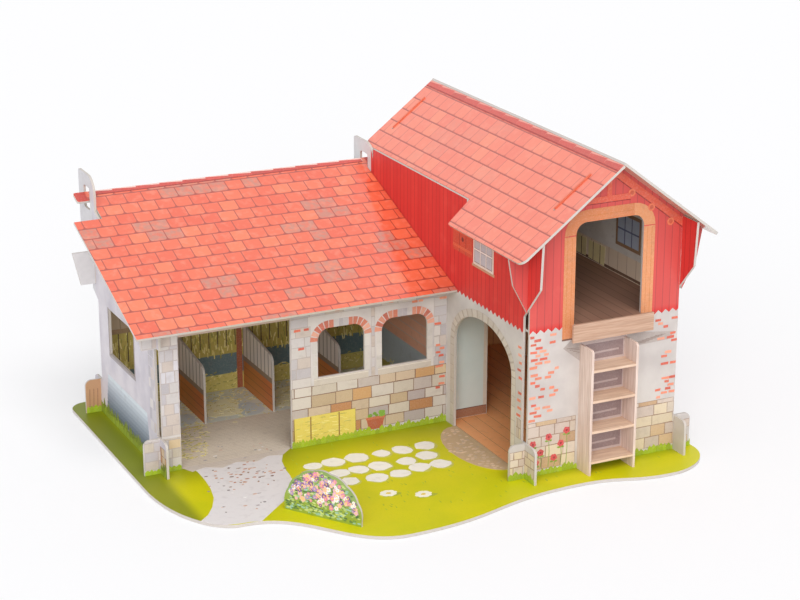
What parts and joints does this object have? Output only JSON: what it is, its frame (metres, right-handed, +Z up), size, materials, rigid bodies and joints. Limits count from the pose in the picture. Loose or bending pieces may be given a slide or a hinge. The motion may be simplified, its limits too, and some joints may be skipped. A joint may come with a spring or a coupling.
{
  "type": "toy barn",
  "caption": "Slot-together printed board toy barn with a lean-to stable: lift-up stable roof on tongue hinges, stalls, arched doorway, loft and ladder on a waved yard base.",
  "frame": {"origin": "middle of the outer box on the underside of the yard board", "axes": "+X along the stable front from the stable to the barn, +Y from the yard's front to the rear wall, +Z up"},
  "size_m": [0.4288, 0.3644, 0.2529],
  "materials": {
    "yard_print": "satin printed greyboard",
    "plaster_print": "satin printed greyboard",
    "tile_print": "satin printed greyboard",
    "red_board_print": "satin printed greyboard",
    "flower_print": "satin printed greyboard",
    "wood_print": "satin printed greyboard"
  },
  "bodies": {
    "barn": {"barn_front_gable": "red_board_print", "barn_left_wall": "red_board_print", "barn_right_wall": "red_board_print", "barn_roof_left": "tile_print", "barn_roof_right": "tile_print", "base": "yard_print", "flower_bed": "flower_print", "ladder_stringer_left": "wood_print", "ladder_stringer_right": "wood_print", "ladder_tread_1": "wood_print", "ladder_tread_2": "wood_print", "ladder_tread_3": "wood_print", "ladder_tread_4": "wood_print", "loft_floor": "wood_print", "loft_sill": "wood_print", "rear_wall": "plaster_print", "stable_end_wall": "plaster_print", "stable_front_wall": "plaster_print", "stall_divider_1": "wood_print", "stall_divider_2": "wood_print", "stall_divider_3": "wood_print"},
    "stable_roof": {"stable_roof": "tile_print"}
  },
  "joints": [
    {"name": "stable_roof_hinge", "type": "hinge", "parent": "barn", "child": "stable_roof", "pos_m": [0, 0.16175, 0.1855], "axis": [-1, 0, 0], "range_deg": [0, 110]}
  ]
}
